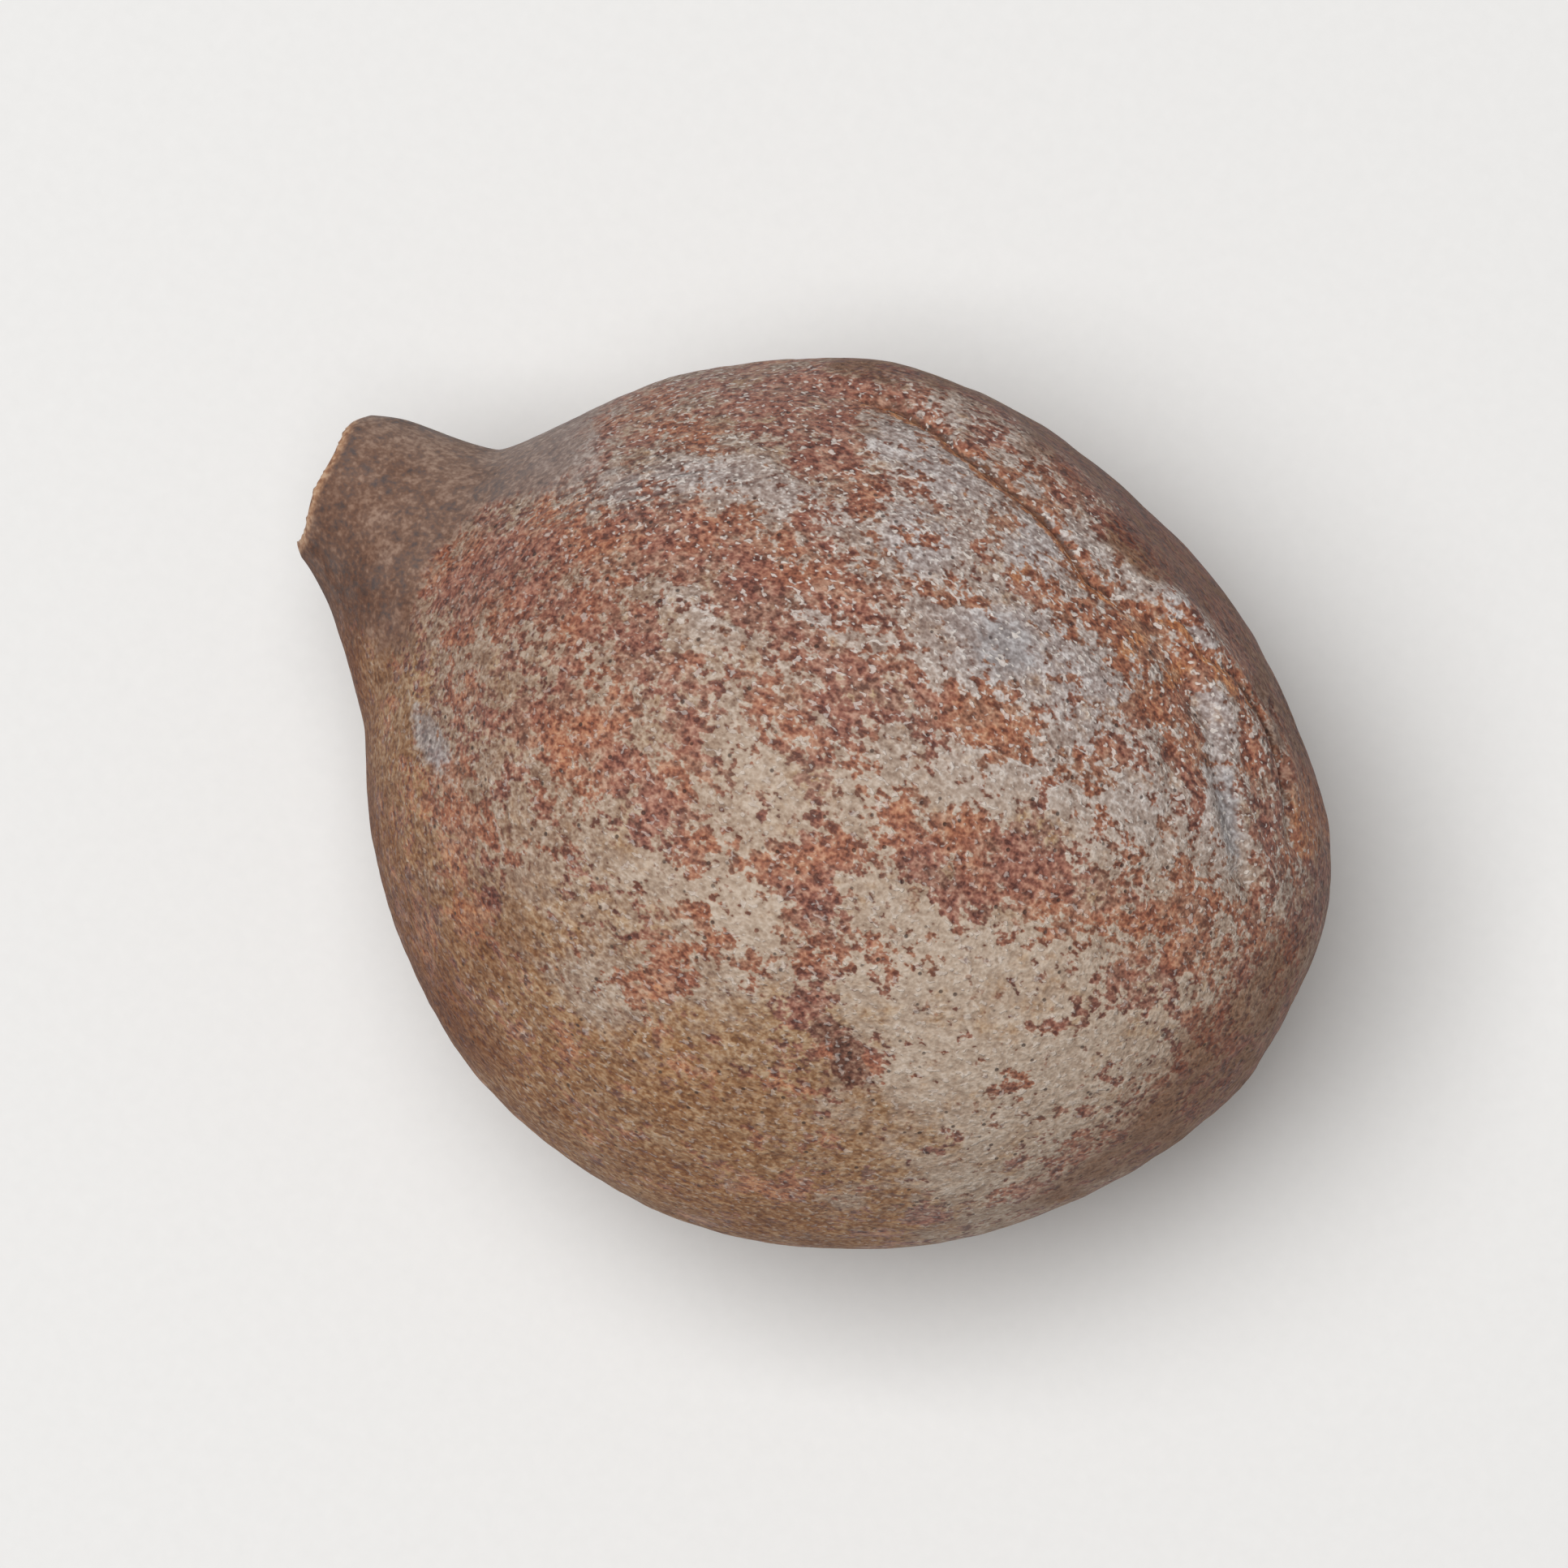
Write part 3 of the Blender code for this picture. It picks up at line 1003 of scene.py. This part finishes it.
def bare_skin(tree, noises, cover):
    """Rusty, maroon and orange skin, with a thin veil of felt left on it."""
    crust = noises["crust"]
    maroon = stepped(tree, noises["tone"], 0.36, 0.60)
    skin = mixed(tree, maroon, ramp(tree, crust, RUST), ramp(tree, crust, MAROON))
    orange = weighted(
        tree,
        (attribute(tree, "orange"), 1.0),
        (noises["granules"], 1.5),
        (attribute(tree, "smooth"), 0.9),
    )
    skin = mixed(tree, stepped(tree, orange, 1.10, 1.70), skin, ramp(tree, crust, ORANGE))
    veil = weighted(
        tree,
        (stepped(tree, noises["mottle"], 0.46, 0.62), 0.35),
        (stepped(tree, cover, 0.05, 0.40), 0.20),
    )
    return mixed(tree, veil, skin, ramp(tree, crust, THIN_FELT))


def felt_wool(tree, noises):
    """Felt: lilac or beige where it is thick, thin elsewhere, and brown on the flanks, with painted light
    making the brown paler on top.
    """
    crust, tone = noises["crust"], noises["tone"]
    thick = ramp(tree, crust, BEIGE_FELT)
    thick = mixed(tree, attribute(tree, "lilac"), thick, ramp(tree, crust, LILAC_FELT))
    wool = mixed(tree, attribute(tree, "pale"), ramp(tree, crust, THIN_FELT), thick)
    # Painted light and shade: tan on top, darker olive on the flanks, with an uneven edge
    painted_top_light = roughened(tree, attribute(tree, "top"), (tone, 2.2), (noises["edge"], 1.5))
    painted_top_light = stepped(tree, painted_top_light, 0.0, 1.0)
    brown = mixed(tree, painted_top_light, ramp(tree, crust, OLIVE_FELT), ramp(tree, crust, TAN_FELT))
    smooth = roughened(
        tree,
        attribute(tree, "smooth"),
        (tone, 1.8),
        (noises["mottle"], 2.0),
        (noises["granules"], 1.2),
    )
    return mixed(tree, stepped(tree, smooth, 0.05, 0.85), wool, brown)


def with_marks(tree, noises, colour):
    """The grey spots, stains, rusty lines with clefts of dark rust and painted shade, and shoulder lines
    over a colour.
    """
    crust, edge, granules = noises["crust"], noises["edge"], noises["granules"]
    grey = roughened(tree, attribute(tree, "grey"), (granules, 1.6))
    grey = maths(tree, "MULTIPLY", stepped(tree, grey, 0.25, 0.90), 0.80)
    colour = mixed(tree, grey, colour, ramp(tree, crust, GREY_FELT))

    stain = roughened(tree, attribute(tree, "stain"), (edge, 2.4), (granules, 2.0))
    colour = mixed(tree, stepped(tree, stain, 0.35, 0.65), colour, ramp(tree, crust, STAIN))
    rust = roughened(tree, attribute(tree, "rust"), (edge, 1.4), (granules, 1.4))
    colour = mixed(tree, stepped(tree, rust, 0.40, 0.60), colour, ramp(tree, crust, ORANGE))
    # Painted shade with dark rust along the cores of the crease and the outer furrow
    cleft_rust_and_shade = roughened(tree, attribute(tree, "cleft_rust_and_shade"), (edge, 2.0), (granules, 1.4))
    cleft_rust_and_shade = maths(tree, "MULTIPLY", stepped(tree, cleft_rust_and_shade, 0.50, 0.80), 0.80)
    colour = mixed(tree, cleft_rust_and_shade, colour, CREASE_RUST_AND_SHADE)

    lines = stepped(tree, noises["stripes"], 0.52, 0.58)
    lines = maths(tree, "MULTIPLY", lines, attribute(tree, "striped"))
    return mixed(tree, maths(tree, "MULTIPLY", lines, 0.60), colour, STRIPE_DARK)


def with_grains(tree, noises, colour, painted_shade_and_tone):
    """Pale crumbs, which also stand in for glints as painted highlights, and dark pores over a colour."""
    strength = maths(tree, "MULTIPLY_ADD", attribute(tree, "lilac"), 0.40, 0.30)
    # The crumbs and their painted glints fade where the painted shade darkens the skin
    strength = maths(tree, "MULTIPLY", strength, maths(tree, "MULTIPLY_ADD", painted_shade_and_tone, -0.50, 1.0))
    colour = mixed(tree, maths(tree, "MULTIPLY", noises["crumbs_and_glints"], strength), colour, CRUMB_AND_GLINT)
    return mixed(tree, maths(tree, "MULTIPLY", noises["pores"], 0.80), colour, PORE)


def with_neck(tree, noises, colour):
    """The smooth skin of the neck over a colour. Specks break up its border."""
    neck = attribute(tree, "neck")
    border = maths(tree, "MULTIPLY", neck, maths(tree, "SUBTRACT", 1.0, neck))
    specks = roughened(tree, 0.0, (noises["edge"], 4.0), (noises["granules"], 6.0))
    neck = stepped(tree, maths(tree, "MULTIPLY_ADD", specks, border, neck), 0.05, 0.95)
    spread = weighted(tree, (noises["tone"], 0.22), (noises["mottle"], 0.16), (noises["crust"], 0.62))
    greyer = maths(tree, "MULTIPLY", attribute(tree, "lilac"), 0.75)
    skin = mixed(tree, greyer, ramp(tree, spread, NECK_FELT), ramp(tree, spread, LILAC_FELT))
    return mixed(tree, neck, colour, skin)


def skin_height(tree, noises):
    """Height of the grain in millimetres, lower on felt and lowest on the neck."""
    bare = maths(tree, "MULTIPLY_ADD", attribute(tree, "felt"), -0.50, 1.20)
    off_neck = maths(tree, "MULTIPLY_ADD", attribute(tree, "neck"), -0.70, 1.0)
    striped = maths(tree, "MULTIPLY", attribute(tree, "striped"), noises["stripes"])
    rough = weighted(
        tree,
        (noises["granules"], 0.100),
        (noises["flecks"], 0.080),
        (noises["crumbs_and_glints"], 0.020),
        (noises["pores"], -0.040),
        (striped, -0.250),
    )
    return maths(tree, "MULTIPLY", rough, maths(tree, "MULTIPLY", bare, off_neck))


def skin_material():
    """Pale felt over rusty skin, the smooth neck, and the fibrous stalk scar."""
    material = bpy.data.materials.new("felted_skin")
    material.use_nodes = True
    tree = material.node_tree
    tree.nodes.clear()
    noises = skin_noises(tree, object_place(tree))

    cover = felt_cover(tree, noises)
    felt = stepped(tree, cover, *FELT_EDGE)
    colour = mixed(tree, felt, bare_skin(tree, noises, cover), felt_wool(tree, noises))
    colour = with_marks(tree, noises, colour)
    # Painted shade and darker clouds of tone, with an uneven edge, multiplied into the colour after the
    # neck
    painted_shade_and_tone = stepped(tree, roughened(tree, attribute(tree, "painted_shade_and_tone"), (noises["edge"], 1.2)), 0.0, 1.0)
    colour = with_grains(tree, noises, colour, painted_shade_and_tone)
    colour = with_neck(tree, noises, colour)
    colour = mixed(tree, painted_shade_and_tone, colour, PAINTED_SHADE_AND_TONE_TINT, "MULTIPLY")
    colour = mixed(tree, attribute(tree, "rim"), colour, ramp(tree, noises["crust"], RIM))
    colour = mixed(tree, attribute(tree, "scar"), colour, ramp(tree, noises["granules"], SCAR_FIBRE))

    height = skin_height(tree, noises)
    bump = put(tree, "ShaderNodeBump", {"Height": height, "Strength": 1.0, "Distance": MM})
    shader = put(tree, "ShaderNodeBsdfPrincipled", {
        "Base Color": colour,
        "Roughness": maths(tree, "MULTIPLY_ADD", felt, FELT_ROUGHNESS_RISE, SKIN_ROUGHNESS),
        "Normal": bump.outputs[0],
        "Specular IOR Level": SKIN_SPECULAR,
        "Sheen Weight": SKIN_SHEEN,
        "Sheen Roughness": SKIN_SHEEN_ROUGHNESS,
    })
    output = put(tree, "ShaderNodeOutputMaterial")
    tree.links.new(shader.outputs[0], output.inputs["Surface"])
    return material


def floor_material():
    """Plain pale card with a faint tooth."""
    material = bpy.data.materials.new("pale_card")
    material.use_nodes = True
    tree = material.node_tree
    shader = tree.nodes["Principled BSDF"]
    tooth = grain(tree, object_place(tree), CARD_TOOTH, 3.0, 0.6)
    tree.links.new(mixed(tree, tooth, CARD_DARK, CARD_LIGHT), shader.inputs["Base Color"])
    shader.inputs["Roughness"].default_value = CARD_ROUGHNESS
    shader.inputs["Specular IOR Level"].default_value = CARD_SPECULAR
    return material


# Stage

def make_floor():
    """The floor that the fruit lies on."""
    bpy.ops.mesh.primitive_plane_add(size=FLOOR_SIZE, location=(0.0, 0.0, 0.0))
    floor = bpy.context.object
    floor.name = "floor"
    floor.data.materials.append(floor_material())
    return floor


def view_direction(azimuth, elevation):
    """Unit vector from the object to a viewer. Azimuth 0 stands at -Y, and 90 at +X."""
    turn = math.radians(azimuth)
    rise = math.radians(elevation)
    return Vector((math.sin(turn) * math.cos(rise), -math.cos(turn) * math.cos(rise), math.sin(rise)))


def aimed(name, data, direction, distance, target):
    """A camera or light at a distance from the target, facing it."""
    thing = bpy.data.objects.new(name, data)
    thing.location = target + direction * distance
    thing.rotation_euler = direction.to_track_quat("Z", "Y").to_euler()
    bpy.context.scene.collection.objects.link(thing)
    return thing


def make_light(target):
    """A large soft square light, almost overhead."""
    data = bpy.data.lights.new("softbox_above", "AREA")
    data.shape = "SQUARE"
    data.size = LIGHT_SIZE
    data.energy = LIGHT_POWER
    direction = view_direction(LIGHT_AZIMUTH, LIGHT_ELEVATION)
    return aimed("softbox_above", data, direction, LIGHT_DISTANCE, target)


def make_camera(target):
    """The camera, at the photograph's viewing angle."""
    data = bpy.data.cameras.new("camera")
    data.sensor_width = SENSOR_WIDTH
    data.lens = SENSOR_WIDTH * CAMERA_DISTANCE / FRAME_WIDTH
    data.clip_start = 0.01
    data.clip_end = 20.0
    direction = view_direction(VIEW_AZIMUTH, VIEW_ELEVATION)
    camera = aimed("camera", data, direction, CAMERA_DISTANCE, target)
    bpy.context.scene.camera = camera
    return camera


def make_world():
    """Dim, even and slightly warm light from all sides."""
    world = bpy.data.worlds.new("studio")
    world.use_nodes = True
    background = world.node_tree.nodes["Background"]
    background.inputs["Color"].default_value = WORLD_COLOUR
    background.inputs["Strength"].default_value = WORLD_STRENGTH
    bpy.context.scene.world = world


low_corner, high_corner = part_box("fruit")
middle_of_fruit = (low_corner + high_corner) / 2.0
make_camera(middle_of_fruit)
make_world()
make_light(middle_of_fruit)
make_floor()
bpy.context.scene.view_settings.view_transform = "Standard"

fruit_skin = make_fruit()
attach(fruit_skin, "root")
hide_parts("fruit")
